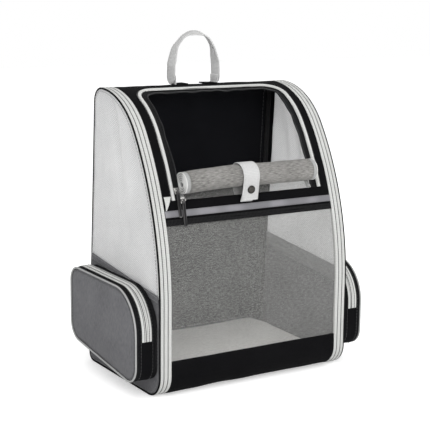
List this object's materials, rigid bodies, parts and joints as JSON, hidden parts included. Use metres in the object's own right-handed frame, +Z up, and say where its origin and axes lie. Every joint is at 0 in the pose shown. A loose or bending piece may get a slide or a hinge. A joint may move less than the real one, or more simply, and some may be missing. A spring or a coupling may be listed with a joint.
{
  "type": "pet carrier backpack",
  "caption": "Soft-sided backpack for carrying a small pet, with a mesh window, a rolled top flap, side pockets, a carry handle and padded shoulder straps.",
  "frame": {"origin": "middle of the base, on the floor plane", "axes": "+Z up, the front with the window faces -Y, the padded back with the shoulder straps at +Y"},
  "size_m": [0.3892, 0.2566, 0.4983],
  "materials": {
    "black_fabric": "woven, matt",
    "dark_grey_fabric": "woven, matt",
    "side_mesh": "fine pale mesh",
    "window_mesh": "fine light-grey mesh",
    "flap_mesh": "rolled fine mesh",
    "reflective_tape": "reflective tape",
    "pale_zip_band": "concealed zip band, ribbed",
    "pale_piping": "piping",
    "pale_webbing": "woven webbing",
    "black_webbing": "woven webbing",
    "strap_fabric": "padded, matt",
    "padding_fabric": "padded spacer mesh",
    "pad_cover": "brushed, matt",
    "stiff_board": "plain",
    "black_plastic": "moulded",
    "pull_rubber": "moulded loop",
    "slider_metal": "cast, satin",
    "snap_metal": "pressed, bright",
    "spring_steel": "flat strip"
  },
  "bodies": {
    "shell": {"arch_stays": "spring_steel", "back_board": "stiff_board", "back_padding": "padding_fabric", "back_panel": "black_fabric", "base_board": "stiff_board", "base_panel": "black_fabric", "buckle_plug": "black_plastic", "buckle_socket": "black_plastic", "chest_webbing_left": "black_webbing", "chest_webbing_right": "black_webbing", "cross_band": "black_fabric", "edge_piping": "black_fabric", "flap_roll": "flap_mesh", "flap_strap_root": "pale_webbing", "flap_zip_tape": "pale_zip_band", "handle_tabs": "pale_webbing", "kick_panel": "black_fabric", "ladder_lock_left": "black_plastic", "ladder_lock_right": "black_plastic", "lower_webbing_left": "black_webbing", "lower_webbing_right": "black_webbing", "lower_window_mesh": "window_mesh", "opening_piping": "pale_piping", "opening_zip_tape": "black_fabric", "parked_slider": "slider_metal", "pocket_face_left": "dark_grey_fabric", "pocket_face_right": "dark_grey_fabric", "pocket_gusset_left": "black_fabric", "pocket_gusset_right": "black_fabric", "pocket_piping_left": "pale_piping", "pocket_piping_right": "pale_piping", "pocket_zip_band_left": "pale_zip_band", "pocket_zip_band_right": "pale_zip_band", "reflective_tape": "reflective_tape", "shoulder_strap_left": "strap_fabric", "shoulder_strap_right": "strap_fabric", "side_lower_left": "dark_grey_fabric", "side_lower_right": "dark_grey_fabric", "side_mesh_left": "side_mesh", "side_mesh_right": "side_mesh", "snap_stud": "snap_metal", "snap_tab": "pale_webbing", "upper_frame": "black_fabric", "zip_band_left": "pale_zip_band", "zip_band_right": "pale_zip_band"},
    "buckle_prong_lower": {"buckle_prong_lower": "black_plastic"},
    "buckle_prong_upper": {"buckle_prong_upper": "black_plastic"},
    "carry_handle": {"carry_handle": "pale_webbing"},
    "flap_strap": {"flap_strap": "pale_webbing", "snap_cap": "snap_metal"},
    "floor_pad": {"floor_pad": "pad_cover"},
    "parked_pull": {"parked_pull": "pull_rubber"},
    "pocket_pull_left": {"pocket_pull_left": "pull_rubber"},
    "pocket_pull_right": {"pocket_pull_right": "pull_rubber"},
    "pocket_slider_left": {"pocket_slider_left": "slider_metal"},
    "pocket_slider_right": {"pocket_slider_right": "slider_metal"},
    "running_pull": {"running_pull": "pull_rubber"},
    "running_slider": {"running_slider": "slider_metal"}
  },
  "joints": [
    {"name": "running_slider_travel", "type": "hinge", "parent": "shell", "child": "running_slider", "pos_m": [-0.1172, 0.31, 0.13], "axis": [-1, 0, 0], "range_deg": [0, 11]},
    {"name": "running_pull_swing", "type": "hinge", "parent": "running_slider", "child": "running_pull", "pos_m": [-0.1172, -0.08345, 0.28857], "axis": [-1, 0, 0], "range_deg": [0, 150]},
    {"name": "parked_pull_swing", "type": "hinge", "parent": "shell", "child": "parked_pull", "pos_m": [-0.1114, -0.08999, 0.27599], "axis": [-1, 0, 0], "range_deg": [0, 85]},
    {"name": "flap_strap_fold", "type": "hinge", "parent": "shell", "child": "flap_strap", "pos_m": [-0.006, -0.08227, 0.3206], "axis": [-1, 0, 0], "range_deg": [0, 110], "stiffness_Nm_per_rad": 0.01},
    {"name": "handle_swing", "type": "hinge", "parent": "shell", "child": "carry_handle", "pos_m": [-0.004, 0.066, 0.4331], "axis": [1, 0, 0], "range_deg": [-80, 80], "stiffness_Nm_per_rad": 0.05},
    {"name": "floor_pad_lift", "type": "slide", "parent": "shell", "child": "floor_pad", "axis": [0, 0, 1], "range_m": [0, 0.05]},
    {"name": "pocket_slider_travel_left", "type": "slide", "parent": "shell", "child": "pocket_slider_left", "axis": [0, 0, 1], "range_m": [0, 0.045]},
    {"name": "pocket_pull_swing_left", "type": "hinge", "parent": "pocket_slider_left", "child": "pocket_pull_left", "pos_m": [-0.177, 0.11, 0.08], "axis": [1, 0, 0], "range_deg": [0, 150]},
    {"name": "pocket_slider_travel_right", "type": "slide", "parent": "shell", "child": "pocket_slider_right", "axis": [0, 0, 1], "range_m": [0, 0.045]},
    {"name": "pocket_pull_swing_right", "type": "hinge", "parent": "pocket_slider_right", "child": "pocket_pull_right", "pos_m": [0.177, 0.11, 0.08], "axis": [1, 0, 0], "range_deg": [0, 150]},
    {"name": "buckle_prong_upper_squeeze", "type": "hinge", "parent": "shell", "child": "buckle_prong_upper", "pos_m": [-0.003, 0.13458, 0.3216], "axis": [0, 1, 0], "range_deg": [0, 8], "stiffness_Nm_per_rad": 0.05},
    {"name": "buckle_prong_lower_squeeze", "type": "hinge", "parent": "shell", "child": "buckle_prong_lower", "pos_m": [-0.003, 0.13458, 0.3084], "axis": [0, 1, 0], "range_deg": [-8, 0], "stiffness_Nm_per_rad": 0.05}
  ],
  "couplings": [
    {"joint": "buckle_prong_lower_squeeze", "follows": "buckle_prong_upper_squeeze", "ratio": -1}
  ]
}
